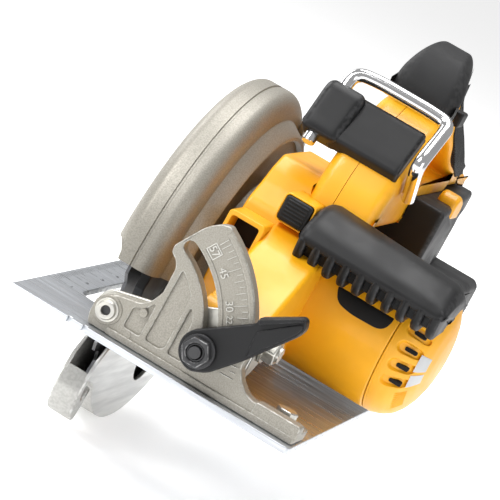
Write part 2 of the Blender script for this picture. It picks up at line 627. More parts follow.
# ---- quadrant ---------------------------------------------------------------------------------------
SLOT = (-90.0, -38.0, -97.0, 118.0)
RIM_R, SLOT_R = 72.2, 50.6


def ring_bar(r0, r1, a0, a1, y0, y1, edge=0.3):
    return plate("Y", y0, y1, path(arc(BEVEL, r1, a0, a1, 24), arc(BEVEL, r0, a1, a0, 24)), edge=edge,
        rings=3)


def quadrant_outline():
    cx, cz = BEVEL
    foot = QUAD_LOW[2]
    left = [[cx - 6, foot], [cx - 7.5, cz - 6], [cx - 7.6, cz + 2], [cx - 4, cz + 5.6], [cx + 1, cz + 8.6],
            [cx + 7.5, cz + 9.9], [cx + 13, cz + 11], [cx + 17, cz + 15], [cx + 19.6, cz + 21],
                [cx + 19.4, cz + 34],
            [cx + 17.4, cz + 37.5], [cx + 13.9, cz + 39.8], [cx + 13.6, cz + 43.4], [cx + 22.4, cz + 57.6],
            [cx + 25.4, cz + 60.6], [cx + 29.0, cz + 63.2], [cx + 33.2, cz + 64.4]]
    rim = arc(BEVEL, RIM_R, 61, 14, 30)
    right = [[cx + 70, cz + 14], [cx + 69.6, cz + 9.5], [cx + 73, cz + 3.6], [cx + 78, cz - 0.6],
        [cx + 82, cz - 1.8],
             [QUAD_HIGH[0], cz - 1.4], [QUAD_HIGH[0], foot]]
    return soften(path(left, rim, right), 1.3, 3)


def make_quadrant(sizes):
    """A back plate and a face plate share one outline; the face plate is pierced where the web is sunk."""
    cx, cz = BEVEL
    y0, y1 = QUAD_LOW[1], QUAD_LOW[1] + 9
    outline = quadrant_outline()
    end = 8.5 + 57
    half = 3.35
    tip = arc(BEVEL, SLOT_R, end, end + 1, 1)[0]
    low = arc(BEVEL, SLOT_R, 8.5, 9, 1)[0]
    opening = path(arc(BEVEL, SLOT_R + half, 8.5, end, 24), arc(tip, half, end + 20, end + 160, 8),
                   arc(BEVEL, SLOT_R - half, end, 8.5, 24), arc(low, half, 8.5 + 200, 8.5 + 340, 8))
    pin = arc(BEVEL, 4.1, 0, 348, 29)
    pockets = [
        soften([[cx + 23.0, cz + 35.0], [cx + 28.4, cz + 30.4], [cx + 32.4, cz + 25.8], [cx + 32.8, cz - 1.6],
                [cx + 30.8, cz - 3.4], [cx + 22.6, cz - 3.2]], 1.6, 4),
        soften([[cx + 35.2, cz + 21.5], [cx + 38.4, cz + 16.6], [cx + 39.4, cz + 4], [cx + 43.0, cz - 3.4],
                [cx + 35.2, cz - 3.4]], 1.5, 4),
        soften([[cx + 10.4, cz - 3.0], [cx + 19.4, cz - 3.2], [cx + 19.4, cz + 14.4], [cx + 15.4, cz + 9.0],
                [cx + 10.6, cz + 7.4]], 1.4, 4),
    ]
    back = plate("Y", y0 + 2.2, y1, outline, [opening, pin], edge=0.6)
    face = plate("Y", y0 + 0.7, y0 + 3.2, outline, [opening, pin, *pockets], edge=0.7)
    band = ring_bar(RIM_R - 3.0, RIM_R - 0.3, 15, 60.5, y0 - 0.1, y0 + 1.5, 0.5)
    step = ring_bar(SLOT_R + 5.2, SLOT_R + 6.0, 9, 60.5, y0 + 0.2, y0 + 1.5, 0.25)
    boss = stud("Y", BEVEL, y0 + 0.1, y0 + 3, 7.4, 0.6, 48, bore=4.6)
    pads = [stud("Y", c, y0 + 0.2, y0 + 2, r, 0.5, 32) for c,
        r in (((cx + 16.0, cz + 7.5), 2.2), ((cx + 14.2, cz - 5.6), 2.0))]
    foot = plate("Y", y0 - 0.4, y0 + 4, box_outline(cx + 4, QUAD_HIGH[0] - 0.3, QUAD_LOW[2],
        QUAD_LOW[2] + 3.6, 1.0), edge=0.6)
    end_block = plate("Y", y0 - 0.1, y0 + 9.1, box_outline(cx + 84, QUAD_HIGH[0] + 0.2,
        QUAD_LOW[2] + 0.1, cz - 0.8, 1.6), edge=0.8)
    flange = plate("Z", QUAD_LOW[2], QUAD_LOW[2] + 5.3, box_outline(cx + 78, QUAD_HIGH[0], y1 - 1,
        y1 + 16, 3), edge=0.7)
    make_piece("quadrant_casting", merged(back, face, band, step, boss, *pads, foot, end_block, flange),
        FINISH["cast"],
               "shoe", ["bevel_quadrant"])
    marks = []
    for a in np.append(np.arange(0, 57.1, 2.5), 57.0):
        major = a % 5 == 0 or a == 57
        r0 = RIM_R - (10.4 if a % 15 == 0 else 8.6 if major else 6.2)
        t = a + 1.8
        marks.append(ring_bar(r0, RIM_R - 3.4, t - 0.13, t + 0.13, y0 + 0.1, y0 + 1.5, 0.08))
    for label, a in (("57", 57.5), ("45", 46.8), ("30", 31.8), ("22.5", 24.3), ("15", 16.8)):
        c = arc(BEVEL, SLOT_R + 9.2, a, a + 1, 1)[0]
        t = math.radians(a)
        away, along = np.array([math.cos(t), 0, math.sin(t)]), np.array([math.sin(t), 0, -math.cos(t)])
        marks.append(writing(label, 5.4 if len(label) < 3 else 4.2, (c[0], y0 + 0.4, c[1]), along, away,
            (0, -1, 0), 0.9))
    box = arc(BEVEL, SLOT_R + 9.2, 57.5, 58, 1)[0]
    square = turned_about(merged(*[plate("Y", y0 + 0.3, y0 + 1.2,
        path(box + np.array(c) - d, box + np.array(c) + [d[0], -d[1]],
                                         box + np.array(c) + d, box + np.array(c) + [-d[0], d[1]]), edge=0.1)
                          for c, d in (((0, 2.7), np.array([3.1, 0.25])), ((0, -2.7), np.array([3.1, 0.25])),
                                       ((3.0, 0), np.array([0.25, 2.9])),
                                           ((-3.0, 0), np.array([0.25, 2.9])))]),
                          1, 32.5, (box[0], 0, box[1]))
    make_piece("quadrant_scale", merged(*marks, square), FINISH["scale"], "shoe")


def make_quadrant_fixings(sizes):
    """Turned and hexagonal fixings: each is a disc or a hexagon with softened rims and a socket."""
    y0 = QUAD_LOW[1]
    washer = stud("Y", BEVEL, y0 - 0.8, y0 + 0.3, 5.9, 0.3, 48, bore=3.9)
    head = lathe("Y", BEVEL, rounded_profile([[y0 - 0.4, 2.4], [y0 - 2.6, 2.4], [y0 - 2.6, 4.4],
        [y0 - 0.6, 5.0], [y0 + 1, 5.0]], 0.3), 48)
    plug = plate("Y", y0 - 0.6, y0 + 9, arc(BEVEL, 3.7, 0, 350, 35), edge=0.2)
    make_piece("bevel_pivot_screw", merged(washer, head), FINISH["zinc"], "shoe", ["bevel_front_pin"])
    make_piece("bevel_pivot_socket", plug, FINISH["dark_steel"], "shoe")
    low, high = span("quadrant_bolt")
    c = (low[:2] + high[:2]) / 2
    hexhead = plate("Z", high[2] - 5.2, high[2] - 0.3, hexagon(c, 5.6), edge=0.6)
    flange = stud("Z", c, high[2] - 5.4, high[2] - 4.3, 6.2, 0.3, 40)
    make_piece("quadrant_hex_bolt", merged(hexhead, flange), FINISH["zinc"], "shoe",
        ["quadrant_bolt"])


# ---- bracket, lever and nut -------------------------------------------------------------------------
def make_bracket(sizes):
    """Pressed plate behind the quadrant with a turned ear for the depth pivot: two rounded plates at a corner."""
    cx, cz = BEVEL
    low, high = span("bevel_bracket")
    y0 = low[1]
    outline = soften(path(arc(BEVEL, 9, 112, 248, 10), [[cx + 30, cz - 7], [BOLT[0], cz - 6],
        [high[0], cz - 1],
                          [high[0], PIVOT[1] + 10], [BOLT[0] + 7, cz + 30], [BOLT[0] - 6, cz + 26],
                              [cx + 20, cz + 14]]), 2.2, 4)
    holes = [arc(BEVEL, 4.1, 0, 348, 29), arc(BOLT, 3.3, 0, 348, 29), arc((cx + 27, cz + 5), 4.2, 0, 348, 29)]
    sheet = plate("Y", y0, y0 + 3, outline, holes, edge=0.5)
    ear = plate("X", high[0] - 3, high[0], soften([[y0, cz - 1], [PIVOT[0], cz + 4], [high[1], PIVOT[1] - 8],
                [high[1], PIVOT[1] + 8], [PIVOT[0], PIVOT[1] + 10], [y0, PIVOT[1] + 10]], 2.4, 5),
                [arc(PIVOT, 4.3, 0, 348, 29)], edge=0.6)
    collar = stud("Y", BEVEL, y0 - 0.25, y0 + 1, 7.6, 0.2, 40, bore=4.6)
    make_piece("bevel_bracket_plate", merged(sheet, ear, collar), FINISH["zinc"], "tilt_bracket",
        ["bevel_bracket"])


def make_lever(sizes):
    """The cam lever: an eye, a waist and a broad thumb tab with a raised lip along its upper edge."""
    low, high = span("bevel_lock_lever")
    bx, bz = BOLT
    y0, y1 = low[1], high[1]
    eye = arc(BOLT, 10.4, 134, 276, 14)
    outline = soften(path(eye, [[bx + 8, bz - 7.4], [bx + 20.3, bz + 6.3], [bx + 37.6, bz + 29.4],
        [bx + 39.4, bz + 34],
                                [bx + 37.8, bz + 38.2], [bx + 35.6, bz + 39.0], [bx + 17.9, bz + 28.6],
                                    [bx + 17.2, bz + 24.8]]),
                     [*[0.4] * len(eye), 3, 2, 3, 2, 1.4, 1.4, 0.8, 0.8], 5)
    body = plate("Y", y0 + 1.2, y1, outline, [arc(BOLT, 6.4, 0, 348, 29)], edge=1.0, rings=6)
    lip = plate("Y", y0 - 1.6, y0 + 4, soften([[bx + 18.2, bz + 28.0], [bx + 35.6, bz + 38.6],
        [bx + 37.4, bz + 37.6],
                [bx + 19.4, bz + 25.6]], 0.7, 4), edge=0.7, rings=5)
    rib = plate("Y", y0 + 0.4, y0 + 3, soften([[bx + 19.6, bz + 22.4], [bx + 37.0, bz + 36.4],
        [bx + 38.2, bz + 34.0],
                [bx + 36.6, bz + 30.4], [bx + 20.6, bz + 8.4]], 1.6, 4), edge=0.6, rings=4)
    make_piece("bevel_lever_arm", merged(body, lip, rib), FINISH["black"], "bevel_lever",
        ["bevel_lock_lever"])
    nut_low, nut_high = span("bevel_lock_nut")
    ny = nut_low[1]
    flange = stud("Y", BOLT, ny + 4.9, ny + 6.6, 8.4, 0.5, 56, bore=3.3)
    neck = stud("Y", BOLT, ny + 6, nut_high[1], 5.9, 0.3, 48, bore=3.3)
    hexa = plate("Y", ny, ny + 5.2, hexagon(BOLT, 7.6, 1.0), [arc(BOLT, 4.4, 0, 348, 29)], edge=0.9)
    dish = lathe("Y", BOLT, rounded_profile([[ny + 1.6, 3.2], [ny + 0.7, 3.6], [ny + 1.0, 4.5],
        [ny + 3, 4.6]], 0.3), 48)
    flange = merged(flange, neck, dish)
    make_piece("bevel_lever_nut", merged(flange, hexa), FINISH["dark_steel"], "bevel_lever",
        ["bevel_lock_nut"])


def make_pivot_nut(sizes):
    low, high = span("depth_pivot_nut")
    washer = stud("X", PIVOT, low[0], low[0] + 1.7, 8.0, 0.3, 48, bore=4.4)
    nut = plate("X", low[0] + 1.2, high[0], hexagon(PIVOT, 6.8, 0.9), [arc(PIVOT, 4.35, 0, 348, 29)],
        edge=0.7)
    make_piece("depth_pivot_lock_nut", merged(washer, nut), FINISH["zinc"], "tilt_bracket",
        ["depth_pivot_nut"])


DEPTH_R = 181.86                  # radius of the depth slot about the depth pivot
DEPTH_REACH = 8.4                 # how far inside that radius the depth bracket and its lever sweep
OUTER_LIMIT_X = -60.1             # innermost face of the guard there, outside the wall
INNER_LIMIT_X = -62.3             # and inside it


# ---- guards -----------------------------------------------------------------------------------------
def closed_sweep(profile, angles_at, limit=None):
    """A closed (x, r) profile carried round the arbor; each point has its own first and last angle, and the
    two end loops are filled flat."""
    prof = np.asarray(profile, float)
    a0, a1 = angles_at(prof[:, 0], prof[:, 1])
    s = np.linspace(0, 1, 97)[:, None]
    t = np.radians(a0[None] * (1 - s) + a1[None] * s)
    pts = np.stack([np.broadcast_to(prof[None, :, 0], t.shape), ARBOR[0] + prof[None, :, 1] * np.cos(t),
                    ARBOR[1] + prof[None, :, 1] * np.sin(t)], -1)
    if limit is not None:
        far = np.hypot(pts[..., 1] - PIVOT[0], pts[..., 2] - PIVOT[1]) > DEPTH_R - DEPTH_REACH
        pts[..., 0] = np.where(far, np.minimum(pts[..., 0], limit[None]), pts[..., 0])
    skin = grid(pts, closed_v=True)
    tris = np.array(tessellate_polygon([[Vector((x, r, 0)) for x, r in prof]]), int)
    return merged(skin, shell(pts[0], tris=tris), shell(pts[-1], tris=tris))


def make_upper_guard(sizes):
    """Wheel-arch casting: outer skin with a seam groove and two turned creases on the motor side, 2.4 mm thick."""
    low, high = span("upper_guard")
    x0, x1 = low[0], high[0]
    seam = BLADE_X + 2.0
    run = np.linspace(0, math.pi / 2, 14)
    left = np.stack([seam - 6.5 - (seam - 6.5 - x0) * np.sin(run[::-1]), 84 + 16 * np.cos(run[::-1])], -1)
    right = np.stack([-69 + 9 * np.sin(run), 88.5 + 11.5 * np.cos(run)], -1)
    outer = [[x0, 20], *left.tolist(), [seam - 0.9, 100], [seam - 0.5, 99.2], [seam + 0.5, 99.2],
        [seam + 0.9, 100],
             *right.tolist(), [-59.9, 87.2], [-58.6, 86.2], [-52.8, 82.6], [-52.0, 81.4], [-52.2, 79.6],
                 [-54.8, 78.6],
             [-55.0, 57], [-54.4, 55.2], [-48.4, 53.4], [x1, 51.2]]
    wall = sizes.guard_wall
    inner = [[x1, 46], [-57.5, 46], [-61.4, 84], [-62.6, 92.5], [-65.0, 96], [-69, 100 - wall],
        [seam - 6.5, 100 - wall],
             [x0 + 4.3, 95.8], [x0 + 3.4, 93.4], [x0 + wall, 86], [x0 + wall, 20]]
    profile = np.array(outer + inner, float)
    def ends(x, r):
        floor = np.where(x < -80.6, 38.0, 28.6) - ARBOR[1]
        a = np.degrees(np.arcsin(np.clip(floor / r, -1, 1)))
        return a, 180 - a
    limit = np.concatenate([np.full(len(outer), OUTER_LIMIT_X), np.full(len(inner), INNER_LIMIT_X)])
    skin = closed_sweep(profile, ends, limit)
    hub = [[-57.5, 49.4], [-57.5, 51.6], [x1 - 0.6, 51.6], [x1, 51.0], [x1, 49.4]]
    sides = [closed_sweep(hub, lambda x, r, a=a: (np.full(len(x), a),
        np.full(len(x), a + 31.4))) for a in (-30.8, 179.4)]
    low_hub = merged(*sides)
    make_piece("upper_guard_shell", merged(skin, low_hub), FINISH["cast"], "head",
        ["upper_guard"], sharp=32)


def make_lower_guard(sizes):
    """Two sheet cheeks joined by a rim of constant radius, with a curved lip across the nose."""
    low, high = span("lower_guard")
    x0, x1, r = low[0], high[0], 95.0
    a, b = 226, 372
    def cheek(inner):
        return soften(path(arc(ARBOR, r, a, b, 60), arc(ARBOR, inner, b, a - 5, 40),
            [[-72, -19], [-79.4, -27], [-81.6, -36]]), 0.5, 2)
    hole = arc((20, -28), 19, 0, 354, 59)
    outer = plate("X", x0, x0 + 2, cheek(30), edge=0.5)
    inner = plate("X", x1 - 2, x1, cheek(25), [hole], edge=0.5)
    rim = closed_sweep([[x0 + 0.4, r - 1.8], [x0 + 0.4, r], [x1 - 0.4, r], [x1 - 0.4, r - 1.8]],
                       lambda x, q: (np.full(len(x), a), np.full(len(x), b)))
    lip = plate("X", x0 + 0.2, x1 - 0.2, soften([[-80.6, -33], [-83.4, -46], [-77.6, -58.6],
        [-69, -61.8], [-65.4, -52], [-66.6, -42],
                [-72, -50], [-76.6, -46], [-77.4, -34]], [1.5, 4, 4, 3, 3, 1, 4, 4, 1.5], 6), edge=1.4,
                    rings=6)
    collar = stud("X", ARBOR, x1 - 2, x1, 26.5, 0.4, 60, bore=20)
    make_piece("lower_guard_shell", merged(outer, rim, lip), FINISH["guard"], "lower_guard",
        ["lower_guard"])
    make_piece("lower_guard_cheek", merged(inner, collar), FINISH["cheek"], "lower_guard")


# ---- motor ------------------------------------------------------------------------------------------
def make_drum(sizes):
    """Drum skin: radius 39 less 3.2 mm inside four rounded vent slots, and a shallow band round the rim."""
    x0, x1, r0 = DRUM_LOW[0], DRUM_HIGH[0], DRUM_R
    def radius(t, x):
        r = np.full(t.shape, r0)
        return r - 0.5 * ease(x, x1 - 0.6, x1) - 0.35 * np.exp(-((x - (x0 + 9.0)) / 0.6) ** 2)
    angles = np.linspace(0, 360, 720, endpoint=False)
    stations = np.concatenate([np.linspace(x0, x1 - 18, 12), np.linspace(x1 - 17.5, x1, 50)])
    skin = relief("X", MOTOR, angles, stations, radius)
    lip = lathe("X", MOTOR, [[x0, r0], [x0, r0 - 3], [x1 - 4, r0 - 3], [x1, r0 - 3.4], [x1, r0 - 0.9]], 120)
    make_piece("motor_drum", merged(skin, lip), FINISH["yellow"], "head", ["motor_housing"])
    back = r0 * math.radians(1)
    inlay = wrapped(plate("Z", r0 - 0.6, r0 + 0.25, soften([[14, 110 * back], [14.5, 160 * back],
        [18, 170 * back], [27, 172.5 * back],
                    [43, 172 * back], [46.6, 166 * back], [47.4, 110 * back]], [1, 3, 4, 4, 4, 4, 1],
                        6), edge=0.2, rings=3), MOTOR)
    make_piece("motor_drum_inlay", inlay, FINISH["black"], "head")


def make_end_cap(sizes):
    """Domed cap: a profile of radius over x, with a row of ribbed vents sunk round the shoulder."""
    low, high = span("motor_end_cap")
    x0, x1 = low[0], high[0]
    keys_x = np.array([x0, x0 + 0.4, x0 + 4.7, x0 + 9.7, x0 + 14.2, x1 - 6, x1 - 3.4, x1 - 1.4, x1 - 0.4, x1])
    keys_r = np.array([38.4, 39, 38.7, 37.0, 34.0, 29.2, 23.5, 16, 9, 0])
    run = np.linspace(0, 1, 110)
    along = np.concatenate([[0], np.cumsum(np.hypot(np.diff(keys_x), np.diff(keys_r)))])
    sx, sr = np.interp(run * along[-1], along, keys_x), np.interp(run * along[-1], along, keys_r)
    kernel = np.ones(7) / 7
    smooth = lambda q: np.concatenate([q[:3], np.convolve(q, kernel, "valid"), q[-3:]])
    sx, sr = smooth(sx), smooth(sr)
    angles = np.linspace(0, 360, 720, endpoint=False)
    t, k = np.meshgrid(angles, np.arange(len(run)), indexing="ij")
    r, x = sr[k].astype(float), sx[k]
    vents = [158.5 + 15 * i for i in range(4)]
    skin_x, skin_r = sx, sr
    for v in vents:
        r = r - 2.4 * pad_mask(x, (t - v) * 37 * math.pi / 180, x0 + 4.6, x0 + 17.0, -2.9, 2.9, 2.8,
            1.0) * (r > 20)
    fine = ((t > 120) & (t < 146)) | ((t > 214) & (t < 240)) | ((t > 60) & (t < 100)) | ((t > 262) & (t < 320))
    phase = ((t / 3.0) % 1.0 - 0.5) * 3.0 * r * math.pi / 180
    r = r - 1.0 * pad_mask(x, phase, x0 + 13.4, x0 + 17.6, -0.5, 0.5, 0.4, 0.35) * fine
    a, b = MOTOR[0] + r * np.cos(np.radians(t)), MOTOR[1] + r * np.sin(np.radians(t))
    skin = grid(place(np.stack([a, b], -1), x, "X"), closed_u=True)
    back = lathe("X", MOTOR, [[x0, 38.4], [x0, 30]], 120)
    make_piece("motor_cap", merged(skin, back), FINISH["yellow"], "head", ["motor_end_cap"])
    slits = [wrapped(plate("Z", 33.0, 35.6, box_outline(x0 + 8.0, x0 + 14.6, (v - 1.6) * 0.6807,
        (v + 1.9) * 0.6807, 1.0),
                           edge=0.1, rings=2), MOTOR) for v in vents]
    make_piece("motor_cap_slits", merged(*slits), FINISH["dark_hole"], "head")
    near = np.interp(np.linspace(x1 - 7.4, x1 - 3.0, 12), skin_x, np.arange(len(skin_x)))
    patch = []
    for a0, a1 in ((172.0, 190.0), (194.0, 208.0)):
        u, w = np.meshgrid(np.linspace(a0, a1, 20), near, indexing="ij")
        pr, px = np.interp(w, np.arange(len(skin_r)), skin_r) + 0.15, np.interp(w,
            np.arange(len(skin_x)), skin_x) + 0.1
        patch.append(grid(place(np.stack([MOTOR[0] + pr * np.cos(np.radians(u)),
            MOTOR[1] + pr * np.sin(np.radians(u))], -1),
                                px, "X")))
    make_piece("motor_cap_labels", merged(*patch), FINISH["label"], "head")


def make_gear_housing(sizes):
    """Gear case: a deep plate with soft edges whose front top is cut in three slopes, and the pivot arm."""
    x0, x1 = -46.3, DRUM_LOW[0] - GAP
    outline = soften([[-30, 10], [18, 9], [36, 24], [42, 44], [40, 88], [22, 105], [-34, 105],
        [-44, 98], [-50, 91],
                      [-61, 81], [-68, 50], [-62, 30], [-48, 15]],
                          [3, 3, 6, 6, 8, 5, 3, 2.5, 2.5, 3, 8, 6, 5], 5)
    case = plate("X", x0, x1, outline, edge=1.6, rings=6)
    arm_x0, arm_x1 = -27.0, 4.7
    arm = plate("X", arm_x0, arm_x1, soften(path(arc(PIVOT, 9, 112, 288, 14),
        [[-66, 16], [-34, 16], [-40, 76], [-62, 80],
                                            [-86, 68]]), 2.4, 4), edge=2.6, rings=6)
    port = plate("Y", -84, -60, box_outline(x0, -26.3, 57, 76, 2.4),
        [box_outline(x0 + 2.2, -28.6, 60, 73.4, 1.6)], edge=0.5)
    port_back = plate("Y", -68, -66.6, box_outline(x0 + 1.6, -28, 59.4, 74, 1.0), edge=0.2)
    boss = stud("X", PIVOT, arm_x0 - 0.2, arm_x1 + 0.1, 9.4, 0.8, 48, bore=4.3)
    make_piece("gear_case", merged(case, arm, port, boss), FINISH["yellow"], "head",
        ["gear_housing"])
    b = span("spindle_lock_button")
    frame_y = np.array([b[0][0] - 1.2, b[1][0] + 1.2, b[0][2] - 1.2, b[1][2] + 1.2])
    ribs = np.linspace(b[0][2] + 2.0, b[1][2] - 2.0, 6)
    button = plate("Y", b[0][1] + 0.6, b[1][1] + 8, box_outline(b[0][0], b[1][0], b[0][2], b[1][2],
        2.0), edge=0.8)
    lines = [plate("Y", b[0][1], b[0][1] + 1.5, box_outline(b[0][0] + 1.6, b[1][0] - 1.6, z - 0.55,
        z + 0.55, 0.5), edge=0.4)
             for z in ribs]
    make_piece("spindle_lock_pad", merged(button, *lines), FINISH["black"], "spindle_lock",
        ["spindle_lock_button"])
    ring = plate("Y", b[0][1] + 2.0, b[1][1] + 6, box_outline(*frame_y[:2], *frame_y[2:], 2.6),
                 [box_outline(b[0][0] - 0.3, b[1][0] + 0.3, b[0][2] - 0.3, b[1][2] + 0.3, 2.1)], edge=0.3)
    make_piece("port_shadow", port_back, FINISH["dark_hole"], "head")
    make_piece("spindle_lock_collar", ring, FINISH["yellow"], "head")


# ---- handles ----------------------------------------------------------------------------------------
def handle_outline():
    return path([[-54, 94], [-50, 112], [-40, 128], [-25, 141], [-4, 152], [62, 172], [86, 147],
        [108, 129], [124, 121],
                 [150, 119], [150, 112], [18, 112], [17, 94]])


def make_handle(sizes):
    """Each half is the handle outline carried from the seam to its side and rounded over the outer edge."""
    hole = soften([[-2, 118], [2, 128], [14, 141], [28, 149], [48, 150], [60, 140], [92, 118]],
        [5, 6, 6, 5, 6, 8, 6], 6)
    outline = soften(handle_outline(), [2, 8, 9, 10, 6, 4, 12, 8, 6, 4, 2, 3, 2], 6)
    right = plate("X", SEAM_X + 0.15, HANDLE_X1, outline, [hole], edge=sizes.handle_round, rings=9,
        both=False)
    left = mirrored(plate("X", SEAM_X + 0.15, 2 * SEAM_X - HANDLE_X0, outline, [hole],
        edge=sizes.handle_round, rings=9,
                          both=False), SEAM_X)
    right, left = slimmed(right, -5, 75, 0.5), slimmed(left, -5, 75, 0.5)
    make_piece("handle_right_shell", right, FINISH["yellow"], "head", ["handle_right_half"])
    make_piece("handle_left_shell", left, FINISH["yellow"], "head", ["handle_left_half"])
    low, high = span("handle_cap")
    cap = soften([[-3.6, 152.8], [-4, 162], [0, 173], [10, 183], [26, 188.5], [44, 187], [57, 180],
        [62, 172.8]],
                 [1.5, 4, 6, 7, 8, 7, 5, 2], 6)
    cap_body = plate("X", low[0], high[0], cap, edge=8.0, rings=12)
    v = cap_body[0].copy()
    v[:, 0] = SEAM_X + (v[:, 0] - SEAM_X) * (1 - 0.26 * ease(v[:, 2], 164, 192))
    cap_body = slimmed((v,) + cap_body[1:], -5, 75, 0.5)
    fin = plate("X", 19, 30, soften([[54, 104], [54, 115], [60, 118.6], [72, 115.6], [76, 111],
        [76, 104]], [2, 3, 4, 4, 3, 2], 5),
                edge=2.4, rings=6)
    make_piece("handle_rear_fin", fin, FINISH["yellow"], "head")
    make_piece("handle_cap_shell", cap_body, FINISH["rubber"], "head", ["handle_cap"])
    g0, g1 = span("grip_pad")
    pad = soften([[62.7, 171.4], [67.2, 157.8], [84.4, 141.1], [104.4, 125.8], [118.4, 119.1], [124.2, 121.2],
                  [108.2, 129.2], [86.2, 147.2]], [1.5, 4, 8, 6, 2, 1.5, 8, 10], 6)
    make_piece("grip_pad_shell", slimmed(plate("X", g0[0], g1[0], pad, edge=5, rings=9), -5, 75, 0.5),
        FINISH["knurl"], "head",
               ["grip_pad"])
    panel = soften([[58.5, 146], [62.5, 169], [68, 164], [86, 146.6], [107, 128.8], [121, 121.4],
        [104, 119.6], [80, 128]],
                   [5, 3, 3, 6, 6, 3, 3, 8], 6)
    side = plate("X", HANDLE_X1 - 4, HANDLE_X1 + 0.9, panel, edge=0.9, rings=5)
    sides = slimmed(merged(side, mirrored(plate("X", HANDLE_X1 - 4, 2 * SEAM_X - HANDLE_X0 + 0.9, panel,
        edge=0.9, rings=5),
                                          SEAM_X)), -5, 75, 0.5)
    make_piece("grip_side_pads", sides, FINISH["knurl"], "head")
    t0, t1 = span("trigger")
    blade_shape = soften([[46, 153], [22, 152], [17, 147], [19, 139], [27, 134], [34, 137], [42, 144],
        [48, 149]],
                         [1, 2, 3, 4, 4, 4, 4, 2], 5)
    make_piece("trigger_blade", plate("X", t0[0], t1[0], blade_shape, edge=2.4, rings=6),
        FINISH["black"], "trigger",
               ["trigger"])
    l0, l1 = span("lock_off_button")
    lock = plate("X", l0[0] - 1, l1[0] - 4, box_outline(l0[1], l1[1], l0[2], l1[2], 1.8), edge=1.2, rings=5)
    make_piece("lock_off_pad", lock, FINISH["black"], "lock_off", ["lock_off_button"])


def make_pommel(sizes):
    """Front grip: a plate-shaped bar whose lower front edge is cut into a comb, with a plain raised panel."""
    low, high = span("pommel_handle")
    seat = arc(MOTOR, DRUM_R + GAP, 104, 144, 10)
    upper = soften(path(seat, [[-62, 77], [-84.0, 78.4], [-85, 82], [-80, 92], [-68, 101], [-54, 103],
        [-42, 99]]),
                   [*[0.2] * len(seat), 0.6, 0.9, 3, 6, 6, 5, 2], 6)
    body = plate("X", low[0], high[0], upper, edge=4.6, rings=10)
    tooth = soften(path(arc(MOTOR, DRUM_R + GAP, 141, 151, 4),
        [[-68, 69], [-77, 67.5], [-83, 72], [-84.9, 80.6], [-82, 83],
                   [-66, 82]]), [*[0.2] * 5, 1.2, 3.4, 3.4, 1.4, 1, 1], 5)
    n = 10
    pitch = (high[0] - low[0] - 7.4) / (n - 1)
    teeth = [plate("X", low[0] + 1.2 + pitch * i, low[0] + 6.0 + pitch * i, tooth, edge=1.7,
        rings=6) for i in range(n)]
    core = plate("X", low[0] + 3, high[0] - 3, soften(path(arc(MOTOR, DRUM_R + GAP, 139, 149, 4),
        [[-66, 72], [-76.5, 72],
                 [-80.5, 80], [-66, 80]]), 0.6, 3), edge=1.0)
    grip = merged(body, *teeth, core)
    v = grip[0].copy()
    off = (v[:, 0] - 28) / np.where(v[:, 0] < 28, 39.0, 42.0)
    v[:, 2] -= np.where(off < 0, 5.0, 9.0) * off ** 2 * ease(v[:, 2], 78, 100)
    v[:, 2] += 1.2 * (1 - off ** 2) * ease(v[:, 2], 90, 100)
    make_piece("pommel_grip", (v,) + grip[1:], FINISH["black"], "head", ["pommel_handle"])


def make_hook(sizes):
    """A bent chrome rod in a moulded clamp: the rod is a circle carried along a path with rounded corners."""
    r = sizes.hook_radius
    points = [[-36, -47.5, 118], [-36, -37, 136], [-36, -25, 157], [-22, -24.4, 158.6],
        [8, -24.4, 158.4], [19, -25, 157.4],
              [18.8, -50, 134.5], [18.6, -27, 115.5]]
    rod = tube(bent_path(points, 7.0, 14), r, 28, 0.5)
    make_piece("hook_rod", rod, FINISH["chrome"], "rafter_hook", ["rafter_hook"])
    c0, c1 = span("hook_clamp")
    block = soften([[-50.4, 124.4], [-49.6, 128.6], [-38.4, 147.4], [-33.0, 150.6], [-17.5, 141.6],
        [-34.6, 117.6]],
                   [2.5, 3, 3, 3, 4, 4], 6)
    left = plate("X", c0[0], HANDLE_X0 - GAP, block, edge=4.4, rings=10)
    strap = soften([[-48.9, 125.4], [-47.0, 129.0], [-30.2, 147.8], [-27.0, 148.0], [-21.4, 143.6],
        [-42.4, 119.8]],
                   [2.5, 3, 3, 2, 0.5, 0.5], 6)
    front = plate("X", HANDLE_X0 - GAP - 6, c1[0] + 0.8, strap, edge=2.0, rings=7)
    make_piece("hook_clamp_block", merged(left, front), FINISH["black"], "head",
        ["hook_clamp"])


